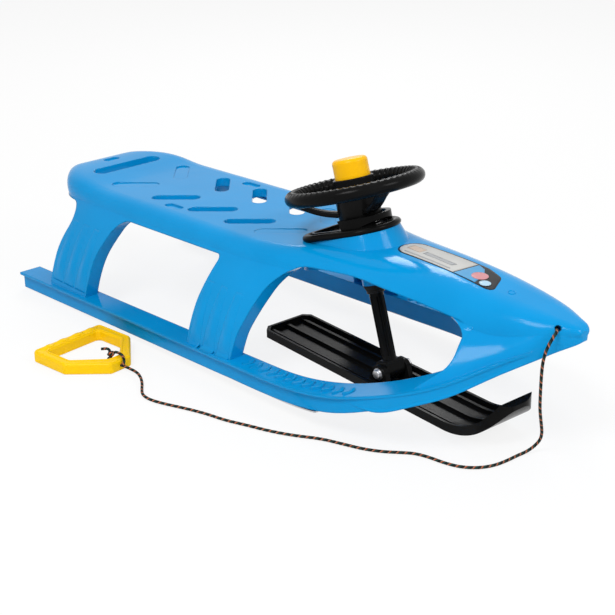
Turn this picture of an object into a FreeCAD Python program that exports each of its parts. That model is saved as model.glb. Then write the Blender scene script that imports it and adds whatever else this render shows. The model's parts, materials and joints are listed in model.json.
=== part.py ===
import FreeCAD, Part
import Sketcher
import math
import os

Vector = FreeCAD.Vector
Rotation = FreeCAD.Rotation
Placement = FreeCAD.Placement

# Driving sizes of the steering sled, lengths in millimetres and angles in degrees.
# x runs forward from the rear end of the runners, y to the left, z up from the runner soles.
sizes = {
    # Stance: the sled stands on its front ski and on the rear ends of its runners.
    "stance_pitch": 1.84,
    "steer_rest": -4.6,
    "rake": 15.4,
    # Moulded body.
    "runner_length": 1006.0,
    "deck_height": 188.0,
    "track_half": 187.0,
    "body_wall": 4.0,
    "rim_depth": 23.0,
    "runner_height": 30.0,
    "runner_width": 32.0,
    "runner_lip": 7.0,
    "slot_length": 78.0,
    "slot_width": 23.0,
    "slot_depth": 14.0,
    "handle_slot_length": 132.0,
    "handle_slot_width": 27.0,
    "groove_depth": 1.2,
    "dimple_length": 37.0,
    "dimple_width": 15.0,
    "dimple_depth": 2.5,
    "notch_length": 30.0,
    "notch_width": 15.0,
    "tread_length": 14.0,
    "tread_width": 5.5,
    "tread_height": 1.6,
    "tread_gap": 10.0,
    "tread_turn": 28.0,
    "rope_hole_radius": 4.0,
    # Steel runner strips and their rivets.
    "strip_width": 26.0,
    "strip_thickness": 2.0,
    "strip_toe_radius": 420.0,
    "rivet_radius": 2.0,
    "rivet_head_radius": 4.0,
    "rivet_head_height": 1.0,
    "rivet_length": 14.0,
    "rivet_boss_radius": 6.0,
    # Steering base on the hood.
    "base_rear": 62.0,
    "base_half_width": 58.0,
    "base_front_radius": 44.0,
    "base_corner_radius": 20.0,
    "base_floor": 4.0,
    "base_height": 9.0,
    "base_rim": 4.0,
    "base_boss_radius": 23.0,
    "base_wall_top": 22.0,
    "base_wall_thickness": 7.0,
    "base_wall_back": 2.0,
    "base_wall_slope": 20.0,
    "cowl_margin": 9.0,
    "cowl_flare": 14.0,
    "cowl_drop": 40.0,
    "screw_radius": 2.0,
    "screw_head_radius": 4.2,
    "screw_head_height": 2.6,
    "screw_length": 14.0,
    "screw_rear": 44.0,
    "screw_rear_side": 40.0,
    "screw_front": -2.0,
    "screw_front_side": 32.0,
    # Column, bushes and clip.
    "column_radius": 10.5,
    "flute_radius": 2.2,
    "flute_end": 6.0,
    "column_edge": 1.3,
    "bush_wall": 2.5,
    "thrust_radius": 19.0,
    "upper_bush_length": 20.0,
    "boss_wall": 3.5,
    "boss_length": 79.0,
    "lower_bush_length": 22.0,
    "collar_radius": 16.5,
    "collar_height": 9.0,
    "collar_lip": 1.5,
    "clip_radius": 13.0,
    "clip_height": 3.0,
    # Wheel and horn, heights along the column from the cowl.
    "hub_radius": 31.0,
    "hub_base": 18.0,
    "hub_height": 39.0,
    "hub_cup_radius": 23.0,
    "hub_cup_depth": 12.0,
    "rim_radius": 91.0,
    "rim_thickness": 9.8,
    "rim_lift": 62.0,
    "spoke_width": 17.0,
    "spoke_thickness": 9.0,
    "spoke_root": 8.5,
    "spoke_turn": -15.0,
    "wheel_pin_radius": 2.5,
    "wheel_pin_height": 30.0,
    "wheel_screw_radius": 3.0,
    "wheel_screw_head_radius": 9.0,
    "wheel_screw_head_height": 5.0,
    "wheel_screw_length": 9.0,
    "ring_radius": 29.0,
    "ring_height": 19.0,
    "ring_edge": 1.5,
    "button_radius": 25.4,
    "button_top": 103.5,
    "button_dome": 6.0,
    "button_roof": 7.0,
    "button_wall": 2.5,
    "button_skirt": 63.5,
    "bellows_radius": 21.0,
    "bellows_wall": 2.0,
    "bellows_fold": 3.0,
    # Ski and its pivot.
    "bolt_height": 20.0,
    "ski_rear": 249.0,
    "ski_front": 249.0,
    "ski_flat": 150.0,
    "ski_width": 89.0,
    "ski_tip_height": 56.0,
    "ski_rim_height": 13.0,
    "ski_wall": 4.0,
    "ski_rib_height": 5.0,
    "ski_rib_width": 5.0,
    "ski_corner": 10.0,
    "ski_tip_pad": 16.0,
    "ski_nose": 38.0,
    "foot_width": 33.0,
    "foot_radius": 12.0,
    "foot_neck": 16.0,
    "foot_room": 3.0,
    "ear_thickness": 8.0,
    "ear_radius": 11.5,
    "ear_length": 44.0,
    "bolt_radius": 4.0,
    "bolt_head_radius": 7.5,
    "bolt_head_height": 4.0,
    "washer_radius": 9.0,
    "washer_thickness": 1.6,
    "nut_radius": 7.5,
    "nut_height": 6.5,
    # Tow rope, knots and handle.
    "rope_radius": 2.2,
    "knot_radius": 7.5,
    "handle_width": 132.0,
    "handle_length": 115.0,
    "handle_neck_width": 38.0,
    "handle_bar": 16.0,
    "handle_thickness": 17.5,
    "handle_corner": 7.0,
    "handle_edge": 3.0,
    "grip_dent_radius": 12.0,
    "grip_dent_depth": 2.5,
    "handle_yaw": 6.0,
    # Fits.
    "running_clearance": 0.05,
    "free_clearance": 0.3,
    "seat_clearance": 0.1,
    "overrun": 6.0,
}

# Cross-sections along the body: place, crown height, flat half-width, crease half-width and
# height, foot half-width, and the foot's rise from the runner towards the deck.
body_shares = (
    (-0.0298, 0.8830, 0.1604, 0.2460, 0.7979, 0.9947, 0.0000),
    (-0.0258, 0.9468, 0.2032, 0.2995, 0.8032, 0.9947, 0.0000),
    (-0.0149, 0.9867, 0.2353, 0.3529, 0.8085, 0.9947, 0.0000),
    (0.0020, 1.0027, 0.3048, 0.4332, 0.8138, 0.9947, 0.0000),
    (0.0318, 1.0027, 0.4118, 0.5561, 0.8191, 0.9947, 0.0000),
    (0.0696, 0.9904, 0.4706, 0.6096, 0.8271, 0.9947, 0.0000),
    (0.1113, 0.9660, 0.4920, 0.6310, 0.8351, 0.9947, 0.0000),
    (0.1491, 0.9601, 0.4973, 0.6364, 0.8351, 0.9947, 0.0000),
    (0.3280, 0.9601, 0.4973, 0.6390, 0.8351, 0.9947, 0.0000),
    (0.4771, 0.9601, 0.4947, 0.6390, 0.8351, 0.9947, 0.0000),
    (0.5567, 0.9734, 0.4278, 0.6043, 0.8404, 0.9947, 0.0000),
    (0.6064, 0.9947, 0.3102, 0.5401, 0.8511, 0.9947, 0.0000),
    (0.6561, 1.0053, 0.2139, 0.4759, 0.8670, 0.9947, 0.0063),
    (0.7356, 1.0053, 0.1444, 0.4278, 0.8564, 0.9465, 0.0538),
    (0.7952, 0.9947, 0.1176, 0.4011, 0.8138, 0.8824, 0.0130),
    (0.8449, 0.9707, 0.1070, 0.3797, 0.7713, 0.7995, 0.1310),
    (0.8847, 0.9441, 0.0963, 0.3476, 0.7394, 0.6497, 0.2443),
    (0.9245, 0.9149, 0.0856, 0.2781, 0.7447, 0.4251, 0.4152),
    (0.9592, 0.8856, 0.0642, 0.2032, 0.7819, 0.2433, 0.5538),
    (0.9821, 0.8617, 0.0401, 0.1176, 0.7819, 0.1123, 0.6425),
    (0.9930, 0.8457, 0.0267, 0.0695, 0.7793, 0.0642, 0.6804),
    (0.9990, 0.8165, 0.0107, 0.0267, 0.7766, 0.0241, 0.7120),
)
side_bulge_share = 0.075

# Side outlines of the openings between the legs: place, height and corner radius.
rear_window_shares = (
    (0.1779, 0.0957, 0.0000),
    (0.1829, 0.4894, 0.6383),
    (0.2048, 0.8112, 0.1809),
    (0.4503, 0.8112, 0.0372),
    (0.4404, 0.4894, 0.7979),
    (0.4344, 0.0957, 0.0000),
)
front_window_shares = (
    (0.5318, 0.0957, 0.0000),
    (0.5378, 0.3511, 0.4255),
    (0.5626, 0.7766, 0.3191),
    (0.5964, 0.8777, 0.2128),
    (0.6859, 0.8830, 1.5957),
    (0.7853, 0.8324, 1.0638),
    (0.8668, 0.7766, 0.1277),
    (0.8758, 0.5500, 0.1383),
    (0.8350, 0.3450, 0.3191),
    (0.7356, 0.1330, 0.7979),
    (0.6561, 0.0957, 0.0000),
)
tail_shares = (
    (-0.0895, 0.0957, 0.0000),
    (0.0795, 0.0957, 0.0000),
    (0.0815, 0.4894, 0.6383),
    (0.0974, 0.8138, 0.1383),
    (-0.0895, 0.8138, 0.0000),
)

# Bow rails: place, half-width, rise of the outer top edge from the runner towards the deck,
# and rail width, height and lip beside the runner's own.
bow_shares = (
    (0.5169, 1.0000, 0.0000, 1.0000, 1.0000, 1.00),
    (0.5567, 1.0000, 0.0000, 1.0000, 1.0000, 1.00),
    (0.5964, 1.0000, 0.0000, 1.0000, 1.0000, 1.00),
    (0.6561, 0.9947, 0.0095, 1.0625, 1.0000, 1.00),
    (0.7356, 0.9492, 0.0570, 1.4375, 0.9286, 0.60),
    (0.7952, 0.8730, 0.1487, 1.6250, 0.7700, 0.15),
    (0.8449, 0.7890, 0.2563, 1.5900, 0.7100, 0.15),
    (0.8847, 0.6390, 0.3639, 1.3400, 0.6786, 0.15),
    (0.9245, 0.4140, 0.5158, 1.1500, 0.5714, 0.15),
    (0.9592, 0.2320, 0.6361, 1.0300, 0.4643, 0.15),
    (0.9810, 0.0980, 0.7152, 0.8125, 0.3929, 0.15),
    (0.9920, 0.0000, 0.7532, 0.9375, 0.3571, 0.15),
)

# Deck pattern: places of the slots along the deck, their distance from the middle and turn, and
# the same outline pressed in before and behind them.
slot_shares = (0.2505, 0.3410, 0.4274)
slot_side_share = 0.2567
slot_turn = 42.7
groove_shares = (0.1441, 0.4960)
dimple_share = 0.2853
dimple_side_share = 0.4250
notch_share = 0.0119
handle_slot_share = 0.0567
ski_rib_shares = (-0.68, 0, 0.68)
tread_shares = (0.560, 0.577, 0.594, 0.611, 0.628, 0.645, 0.662, 0.679, 0.696, 0.713, 0.730, 0.747)
rivet_shares = (0.06, 0.22, 0.38, 0.54)
axis_share = 0.6170
cowl_share = 1.0569
nose_share = 0.785
rear_end_share = 0.0298
rear_height_share = 0.83
strip_toe_share = 0.64
strip_end_share = 0.705
spoke_foot_share = 1.15
spoke_end_share = 1.1
handle_waist_share = 0.55
arm_inner_share = 0.25
neck_inner_share = 0.55
grip_dent_shares = (-0.72, -0.24, 0.24, 0.72)
rope_arc_share = 0.45
flute_count = 6
spoke_count = 3
bellows_edges = 11

# Tow rope from the knot in the nose to the knot in the handle, chosen points in the sled's frame.
rope_route = (
    (474.6, -12.0, 177.8), (487.3, -20.0, 185.7), (495.5, -29.0, 188.0), (497.0, -40.0, 182.0),
    (493.5, -46.0, 168.0), (490.0, -47.0, 149.5), (488.8, -46.0, 129.0), (486.8, -42.5, 105.0),
    (482.8, -36.0, 79.0), (480.5, -27.5, 54.0), (475.5, -17.0, 35.0), (470.0, -11.5, 20.0),
    (463.5, -15.0, 8.8), (459.5, -26.0, 3.2), (457.0, -41.0, 2.5), (456.5, -60.0, 2.5),
    (453.5, -83.0, 2.5), (443.5, -103.0, 2.5), (427.0, -117.5, 2.5), (406.0, -125.0, 2.5),
    (382.0, -128.0, 2.5), (362.0, -134.0, 2.5), (347.0, -146.5, 2.5), (330.0, -161.5, 2.5),
    (307.0, -175.0, 2.5), (278.0, -185.0, 2.5), (248.0, -196.0, 2.5), (221.0, -214.0, 2.5),
    (189.0, -230.0, 2.5), (153.0, -242.0, 2.5), (121.0, -254.5, 2.5), (90.0, -260.5, 2.5),
    (58.0, -271.0, 2.5), (28.0, -283.5, 2.5), (2.0, -291.5, 2.5), (-18.0, -290.0, 2.5),
    (-33.0, -279.5, 2.6), (-46.0, -269.0, 3.6), (-59.0, -261.5, 5.8), (-73.0, -257.6, 8.0),
    (-92.3, -258.9, 8.75), (-111.9, -261.25, 8.75), (-131.3, -263.3, 8.75),
)
handle_centre = (-221.8, -272.8)


def make_sheet(doc):
    """Keeps the driving sizes as named cells."""
    sheet = doc.addObject("Spreadsheet::Sheet", "sizes")
    for row, name in enumerate(sizes, start=1):
        sheet.set("A%d" % row, name)
        sheet.set("B%d" % row, repr(sizes[name]))
        sheet.setAlias("B%d" % row, name)
    doc.recompute()
    return sheet


doc = FreeCAD.newDocument("steering_sled")
sheet = make_sheet(doc)


def size(name):
    """One size from the sheet."""
    return float(sheet.get(name))


def worth(terms):
    """Value of a sum of named sizes, written as words and signs."""
    total = 0
    sign = 1
    for token in terms.split():
        if token in ("+", "-"):
            sign = 1 if token == "+" else -1
        elif token != "0":
            total += sign * size(token)
    return total


def bound(terms):
    """The same sum as an expression on the sheet."""
    return " ".join(token if token in ("+", "-", "0") else "sizes." + token for token in terms.split())


def place(x, y, z):
    """Placement that only moves."""
    return Placement(Vector(x, y, z), Rotation())


def turn(axis, angle):
    """Placement that only turns about an axis through the origin."""
    return Placement(Vector(), Rotation(axis, angle))


axis_x = Vector(1, 0, 0)
axis_y = Vector(0, 1, 0)
axis_z = Vector(0, 0, 1)


def stance():
    """From the sled's own frame to the floor, with the origin under the middle of the sled."""
    pitch = math.radians(size("stance_pitch"))
    nose = size("runner_length") * math.cos(pitch) - nose_share * size("deck_height") * math.sin(pitch)
    tail = rear_end_share * size("runner_length") * math.cos(pitch)
    tail += rear_height_share * size("deck_height") * math.sin(pitch)
    return place((tail - nose) / 2, 0, 0) * turn(axis_y, -size("stance_pitch"))


def axis_place():
    """Steering axis in the sled's own frame: origin on the cowl, z along the column."""
    lift = cowl_share * size("deck_height")
    return place(axis_share * size("runner_length"), 0, lift) * turn(axis_y, -size("rake"))


def steering_place():
    """Frame of the turned column and wheel on the floor."""
    return stance() * axis_place() * turn(axis_z, size("steer_rest"))


def column_drop():
    """Length of the column from the cowl to the ski bolt, so that the ski lies on the floor."""
    pitch = math.radians(size("stance_pitch"))
    lean = math.radians(size("stance_pitch") + size("rake"))
    tilt = abs(math.sin(math.radians(size("steer_rest"))) * math.sin(lean))
    rest = size("bolt_height") * math.sqrt(1 - tilt * tilt) + size("ski_width") / 2 * tilt
    height = axis_share * size("runner_length") * math.sin(pitch)
    height += cowl_share * size("deck_height") * math.cos(pitch)
    return (height - rest) / math.cos(lean)


def ski_place():
    """Frame of the ski: origin on its bolt, x along the ski."""
    lean = math.radians(size("stance_pitch") + size("rake"))
    level = math.degrees(math.atan(math.tan(lean) * math.cos(math.radians(size("steer_rest")))))
    return steering_place() * place(0, 0, -column_drop()) * turn(axis_y, level)


def side_point(across, up):
    """Point of a side outline in the sled's middle plane."""
    return Vector(across, 0, up)


def flat_point(across, up):
    """Point of a plan outline."""
    return Vector(across, up, 0)


def corner_arc(before, here, after):
    """Start, middle and end of the tangent arc that rounds one corner."""
    point = FreeCAD.Base.Vector2d(here[0], here[1])
    back = FreeCAD.Base.Vector2d(before[0], before[1]) - point
    ahead = FreeCAD.Base.Vector2d(after[0], after[1]) - point
    if here[2] == 0:
        return point, None, point
    radius = here[2]
    inner = math.acos((back * ahead) / (back.length() * ahead.length()))
    reach = radius / math.tan(inner / 2)
    start = point + back * (reach / back.length())
    end = point + ahead * (reach / ahead.length())
    middle = (start + end) * 0.5 - point
    depth = radius / math.sin(inner / 2) - radius
    return start, point + middle * (depth / middle.length()), end


def rounded_wire(corners, lift):
    """Closed outline through corners (across, up, radius), each rounded by a tangent arc."""
    count = len(corners)
    arcs = [corner_arc(corners[i - 1], corners[i], corners[(i + 1) % count]) for i in range(count)]
    edges = []
    for index, (start, middle, end) in enumerate(arcs):
        if middle is not None:
            points = [lift(point.x, point.y) for point in (start, middle, end)]
            edges.append(Part.Arc(*points).toShape())
        following = arcs[(index + 1) % count][0]
        edges.append(Part.LineSegment(lift(end.x, end.y), lift(following.x, following.y)).toShape())
    return Part.Wire(edges)


def stadium(length, width, low, high):
    """Upright slot-shaped prism about the origin, its length along x."""
    reach = (length - width) / 2
    radius = width / 2
    top = Part.LineSegment(Vector(-reach, radius, low), Vector(reach, radius, low)).toShape()
    bottom = Part.LineSegment(Vector(reach, -radius, low), Vector(-reach, -radius, low)).toShape()
    right = Part.Arc(Vector(reach, radius, low), Vector(reach + radius, 0, low), Vector(reach, -radius, low))
    outermost = Vector(-reach - radius, 0, low)
    left = Part.Arc(Vector(-reach, -radius, low), outermost, Vector(-reach, radius, low))
    face = Part.Face(Part.Wire([top, right.toShape(), bottom, left.toShape()]))
    return face.extrude(Vector(0, 0, high - low))


def both_sides(shape):
    """A shape and its mirror image across the middle plane."""
    return [shape, shape.mirror(Vector(), axis_y)]


def foot_height(rise):
    """Height of a foot or rail that rises from the runner towards the deck."""
    return size("runner_height") + rise * (size("deck_height") - size("runner_height"))


def bent(start, control, end):
    """Edge that leaves its start towards a control point and comes from there to its end."""
    curve = Part.BezierCurve()
    curve.setPoles([start, control, end])
    return curve.toShape()


def mirrored(point):
    """Point on the other side of the middle plane."""
    return Vector(point.x, -point.y, point.z)


def section_wire(row, depth, sink):
    """One cross-section of the body, moved in by a wall and with its foot sunk by a length."""
    x = row[0] * size("runner_length")
    crown = row[1] * size("deck_height")
    flat = row[2] * size("track_half")
    crease = Vector(x, row[3] * size("track_half"), row[4] * size("deck_height"))
    foot = Vector(x, row[5] * size("track_half"), foot_height(row[6]))
    radius = ((crease.y - flat) ** 2 + (crown - crease.z) ** 2) / (2 * (crown - crease.z))
    centre = Vector(x, flat, crown - radius)
    out = (crease - centre).normalize()
    half_angle = axis_z.getAngle(out) / 2
    roll_start = Vector(x, flat, crown - depth)
    roll_corner = roll_start + axis_y * ((radius - depth) * math.tan(half_angle))
    roll_end = centre + out * (radius - depth)
    chord = foot - crease
    normal = Vector(0, -chord.z, chord.y).normalize()
    side_end = foot - Vector(0, depth, sink)
    side_middle = (crease + foot) / 2 + normal * (side_bulge_share * chord.Length - depth)
    side_corner = side_middle * 2 - (roll_end + side_end) / 2
    edges = [
        Part.LineSegment(mirrored(roll_start), roll_start).toShape(),
        bent(roll_start, roll_corner, roll_end),
        bent(roll_end, side_corner, side_end),
        Part.LineSegment(side_end, mirrored(side_end)).toShape(),
        bent(mirrored(side_end), mirrored(side_corner), mirrored(roll_end)),
        bent(mirrored(roll_end), mirrored(roll_corner), mirrored(roll_start)),
    ]
    return Part.Wire(edges)


def body_blank(rows, depth, sink):
    """Solid through a run of the body's cross-sections."""
    return Part.makeLoft([section_wire(row, depth, sink) for row in rows], True, False)


def outline_corners(shares):
    """Side outline in lengths, its corners rounded."""
    length = size("runner_length")
    height = size("deck_height")
    return [(x * length, z * height, r * height) for x, z, r in shares]


def through_prism(shares, grow):
    """Side outline run through the whole width, grown by a wall."""
    wire = rounded_wire(outline_corners(shares), side_point)
    if grow:
        wire = wire.makeOffset2D(grow)
    reach = size("track_half") + size("overrun")
    face = Part.Face(wire)
    face.translate(Vector(0, -reach, 0))
    return face.extrude(Vector(0, 2 * reach, 0))


def bow_normals():
    """Inward directions of the bow in plan, one at each of its places."""
    points = [Vector(row[0] * size("runner_length"), row[1] * size("track_half"), 0) for row in bow_shares]
    normals = []
    for index in range(len(points)):
        before = points[max(index - 1, 0)]
        after = points[min(index + 1, len(points) - 1)]
        along = after - before
        normals.append(Vector(along.y, -along.x, 0).normalize())
    normals[0] = Vector(0, -1, 0)
    normals[-1] = Vector(-1, 0, 0)
    return normals


def channel_low():
    """Height of the runner's open underside above the strip's sole."""
    return size("strip_thickness") + size("seat_clearance")


def runner_section(row, normal, hand):
    """Cross-section of a runner at one place of the bow: a channel open below, with an outward lip."""
    wall = size("body_wall")
    width = row[3] * size("runner_width")
    height = row[4] * (size("runner_height") - channel_low())
    lip = row[5] * size("runner_lip")
    base = Vector(row[0] * size("runner_length"), row[1] * size("track_half"), foot_height(row[2]))
    profile = (
        (-lip, 0), (width, 0), (width, height), (width - wall, height), (width - wall, wall),
        (wall, wall), (wall, height), (0, height), (0, wall), (-lip, wall),
    )
    points = [base + normal * inward - axis_z * down for inward, down in profile]
    points = [Vector(point.x, hand * point.y, point.z) for point in points]
    return Part.makePolygon(points + points[:1])


def runners():
    """Both runners, straight channels closed at the rear, joined by the rail around the bow."""
    rows = list(zip(bow_shares, bow_normals()))
    left = [runner_section(row, normal, 1) for row, normal in rows]
    right = [runner_section(row, normal, -1) for row, normal in rows[:-1]]
    pieces = []
    back = Vector(-bow_shares[0][0] * size("runner_length"), 0, 0)
    low = channel_low()
    end_size = (size("body_wall"), size("runner_width"), size("runner_height") - low)
    near = size("track_half") - size("runner_width")
    for section, side in ((left[0], near), (right[0], -size("track_half"))):
        pieces.append(Part.Face(section).extrude(back))
        pieces.append(Part.makeBox(*end_size, Vector(0, side, low)))
    bow = Part.makeLoft(left + right[::-1], True, False)
    return bow.fuse(pieces)


def base_outline(margin, drop):
    """Shield outline of the steering base in the cowl plane, grown by a margin."""
    rear = size("base_rear") + margin
    half = size("base_half_width") + margin
    radius = size("base_front_radius") + margin
    corner = size("base_corner_radius") + margin
    distance = math.hypot(rear, half)
    touch = math.atan2(half, -rear) - math.acos(radius / distance)
    tangent = Vector(radius * math.cos(touch), radius * math.sin(touch), 0)
    straight = [(tangent.x, tangent.y, 0), (-rear, half, corner), (-rear, -half, corner)]
    straight.append((tangent.x, -tangent.y, 0))
    arcs = [corner_arc(straight[i - 1], straight[i], straight[(i + 1) % 4]) for i in (1, 2)]
    points = [tangent]
    for arc in arcs:
        points.extend(Vector(point.x, point.y, 0) for point in arc)
    points.append(Vector(tangent.x, -tangent.y, 0))
    edges = [
        Part.LineSegment(points[0], points[1]),
        Part.Arc(points[1], points[2], points[3]),
        Part.LineSegment(points[3], points[4]),
        Part.Arc(points[4], points[5], points[6]),
        Part.LineSegment(points[6], points[7]),
        Part.Arc(points[7], Vector(radius, 0, 0), points[0]),
    ]
    wire = Part.Wire([edge.toShape() for edge in edges])
    wire.translate(Vector(0, 0, -drop))
    return wire


def base_prism(margin, low, high):
    """Shield outline run along the steering axis."""
    face = Part.Face(base_outline(margin, -low))
    return face.extrude(Vector(0, 0, high - low))


def pedestal(inset, top, sink):
    """Flared cowl that carries the steering base, in the steering frame."""
    upper = base_outline(size("cowl_margin") - inset, top)
    lower = base_outline(size("cowl_margin") + size("cowl_flare") - inset, size("cowl_drop") + sink)
    return Part.makeLoft([upper, lower], True, True)


def bore_radius():
    """Radius of the bore that carries both bushes."""
    return size("column_radius") + size("running_clearance") + size("bush_wall") + size("seat_clearance")


def round_bar(radius, low, high):
    """Round bar along the local z axis."""
    return Part.makeCylinder(radius, high - low, Vector(0, 0, low))


def between(table, share, column):
    """Value of one column of a table at a place between its rows."""
    for before, after in zip(table, table[1:]):
        if share <= after[0]:
            part = max(share - before[0], 0) / (after[0] - before[0])
            return before[column] + part * (after[column] - before[column])


def deck_place(along, side, angle):
    """Place on the deck, turned in plan."""
    crown = between(body_shares, along, 1) * size("deck_height")
    return place(along * size("runner_length"), side * size("track_half"), crown) * turn(axis_z, angle)


def deck_slots(grow, low, high):
    """Six slanted slots through the deck."""
    slots = []
    for along in slot_shares:
        slot = stadium(size("slot_length") + 2 * grow, size("slot_width") + 2 * grow, low, high)
        slot.Placement = deck_place(along, slot_side_share, -slot_turn)
        slots.extend(both_sides(slot))
    return slots


def handle_slot(grow, low, high):
    """Carrying slot across the rear of the deck."""
    slot = stadium(size("handle_slot_length") + 2 * grow, size("handle_slot_width") + 2 * grow, low, high)
    slot.Placement = deck_place(handle_slot_share, 0, 90)
    return slot


def deck_marks():
    """Outlines, dimples and a finger notch pressed in the deck."""
    marks = []
    high = size("overrun")
    for along in groove_shares:
        groove = stadium(size("slot_length"), size("slot_width"), -size("groove_depth"), high)
        groove.Placement = deck_place(along, slot_side_share, -slot_turn)
        marks.extend(both_sides(groove))
    dimple = stadium(size("dimple_length"), size("dimple_width"), -size("dimple_depth"), high)
    dimple.Placement = deck_place(dimple_share, dimple_side_share, 0)
    notch = stadium(size("notch_length"), size("notch_width"), -size("dimple_depth"), high)
    notch.Placement = deck_place(notch_share, 0, 90)
    return marks + both_sides(dimple) + [notch]


def treads():
    """Two rows of slanted lugs on the runners beside the hood, like a tyre's tread."""
    lugs = []
    for share in tread_shares:
        top = foot_height(between(bow_shares, share, 2)) + size("tread_height")
        outer = between(bow_shares, share, 1) * size("track_half") - size("tread_gap")
        for row, lean in ((0, 1), (1, -1)):
            lug = stadium(size("tread_length"), size("tread_width"), -size("body_wall"), 0)
            spot = place(share * size("runner_length"), outer - row * size("tread_gap"), top)
            lug.Placement = spot * turn(axis_z, 90 + lean * size("tread_turn"))
            lugs.extend(both_sides(lug))
    return lugs


def rivet_places():
    """Middle of every rivet on the underside of the strips."""
    side = size("track_half") - size("runner_width") / 2
    along = [share * size("runner_length") for share in rivet_shares]
    return [Vector(x, sign * side, 0) for x in along for sign in (1, -1)]


def rope_hole():
    """Bore in the nose that the tow rope passes through, with its far twin."""
    start = Vector(*rope_route[0])
    end = Vector(*rope_route[1])
    along = (end - start).normalize()
    bore = Part.makeCylinder(size("rope_hole_radius"), 2 * (end - start).Length, start, along)
    bore.Placement = stance().inverse() * bore.Placement
    return both_sides(bore)


def shell_skin():
    """Deck, hood and legs: a moulded wall with windows, returns around them and an open underside."""
    wall = size("body_wall")
    rows = body_shares
    outer = body_blank(rows, 0, wall / 2)
    inner = body_blank(rows[1:-1], wall, size("overrun"))
    deep = body_blank(rows[2:-4], size("rim_depth"), size("overrun"))
    skin = outer.cut(inner)
    frame = outer.cut(deep)
    cuts = []
    returns = []
    for shares in (rear_window_shares, front_window_shares, tail_shares):
        opening = through_prism(shares, 0)
        cuts.append(opening)
        returns.append(frame.common(through_prism(shares, wall).cut(opening)))
    return skin.cut(cuts).fuse(returns)


def deck_wells():
    """Walls hanging around the slots of the deck."""
    wall = size("body_wall")
    low = -size("slot_depth")
    return deck_slots(wall, low, -wall / 2) + [handle_slot(wall, low, -wall / 2)]


def deck_cuts():
    """Slots through the deck, with the marks pressed in it."""
    low = -size("slot_depth") - size("overrun")
    high = size("overrun")
    return deck_slots(0, low, high) + [handle_slot(0, low, high)] + deck_marks()


def rivet_bars(radius, low, high):
    """One upright bar at every rivet."""
    bars = []
    for spot in rivet_places():
        bar = round_bar(radius, low, high)
        bar.translate(spot)
        bars.append(bar)
    return bars


def on_axis(shape):
    """A shape carried from the steering frame to the sled's own frame."""
    shape.Placement = axis_place()
    return shape


def on_axis_spot(shape):
    """A shape already set off the steering axis, carried to the sled's own frame."""
    shape.Placement = axis_place() * shape.Placement
    return shape


def sled_body():
    """The moulded body of the sled."""
    wall = size("body_wall")
    hollow = pedestal(wall, wall, size("overrun"))
    cowl = on_axis(pedestal(0, 0, 0).cut(hollow))
    boss = on_axis(round_bar(bore_radius() + size("boss_wall"), -size("boss_length"), -wall / 2))
    bore = on_axis(round_bar(bore_radius(), -size("boss_length") - size("overrun"), size("overrun")))
    recess = on_axis(base_prism(size("free_clearance"), 0, size("base_wall_top") + size("overrun")))
    skin = shell_skin().cut(on_axis(hollow))
    posts = rivet_bars(size("rivet_boss_radius"), channel_low(), size("runner_height") - wall / 2)
    skin = skin.fuse([runners(), cowl, boss] + deck_wells() + posts + treads())
    pins = rivet_bars(size("rivet_radius"), -size("overrun"), size("rivet_length"))
    screws = screw_bars(size("screw_radius"), size("base_floor") - size("screw_length"), size("overrun"))
    screws = [on_axis_spot(screw) for screw in screws]
    return skin.cut([bore, recess] + deck_cuts() + rope_hole() + pins + screws)


def keep(name, shape, where):
    """One sub-part from a finished shape."""
    piece = doc.addObject("Part::Feature", name)
    piece.Label = name
    piece.Shape = shape
    piece.Placement = where
    return piece


def polygon_sketch(body, name, corners):
    """Closed outline in the body's upright plane, every corner held by the sheet."""
    sketch = body.newObject("Sketcher::SketchObject", name)
    plane = [item for item in body.Origin.OriginFeatures if item.Role == "XZ_Plane"][0]
    sketch.AttachmentSupport = [(plane, "")]
    sketch.MapMode = "FlatFace"
    points = [Vector(worth(across), worth(up), 0) for across, up in corners]
    for start, end in zip(points, points[1:] + points[:1]):
        sketch.addGeometry(Part.LineSegment(start, end))
    for index in range(len(points)):
        sketch.addConstraint(Sketcher.Constraint("Coincident", index, 2, (index + 1) % len(points), 1))
    for index, terms in enumerate(corners):
        for kind, axis, term in zip(("DistanceX", "DistanceY"), (-2, -1), terms):
            if term == "0":
                sketch.addConstraint(Sketcher.Constraint("PointOnObject", index, 1, axis))
                continue
            held = sketch.addConstraint(Sketcher.Constraint(kind, -1, 1, index, 1, worth(term)))
            sketch.setExpression("Constraints[%d]" % held, bound(term))
    return sketch


def turned(name, corners, where):
    """Turned sub-part about its own upright axis."""
    body = doc.addObject("PartDesign::Body", name)
    body.Label = name
    sketch = polygon_sketch(body, name + "_profile", corners)
    solid = body.newObject("PartDesign::Revolution", name + "_turned")
    solid.Profile = sketch
    solid.ReferenceAxis = (sketch, ["V_Axis"])
    solid.Angle = 360
    sketch.Visibility = False
    body.Placement = where
    doc.recompute()
    return body


def rounded_top(body, name, term):
    """Rounds the outer top edge of a turned sub-part."""
    solid = body.Tip
    radius = size(term)
    top = solid.Shape.BoundBox.ZMax
    names = []
    for index, edge in enumerate(solid.Shape.Edges, start=1):
        below = top - edge.BoundBox.ZMin
        inside = solid.Shape.BoundBox.XMax - edge.BoundBox.XMax
        if below < radius / 2 and inside < radius / 2:
            names.append("Edge%d" % index)
    fillet = body.newObject("PartDesign::Fillet", name)
    fillet.Base = (solid, names)
    fillet.Radius = radius
    fillet.setExpression("Radius", bound(term))
    doc.recompute()


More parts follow.
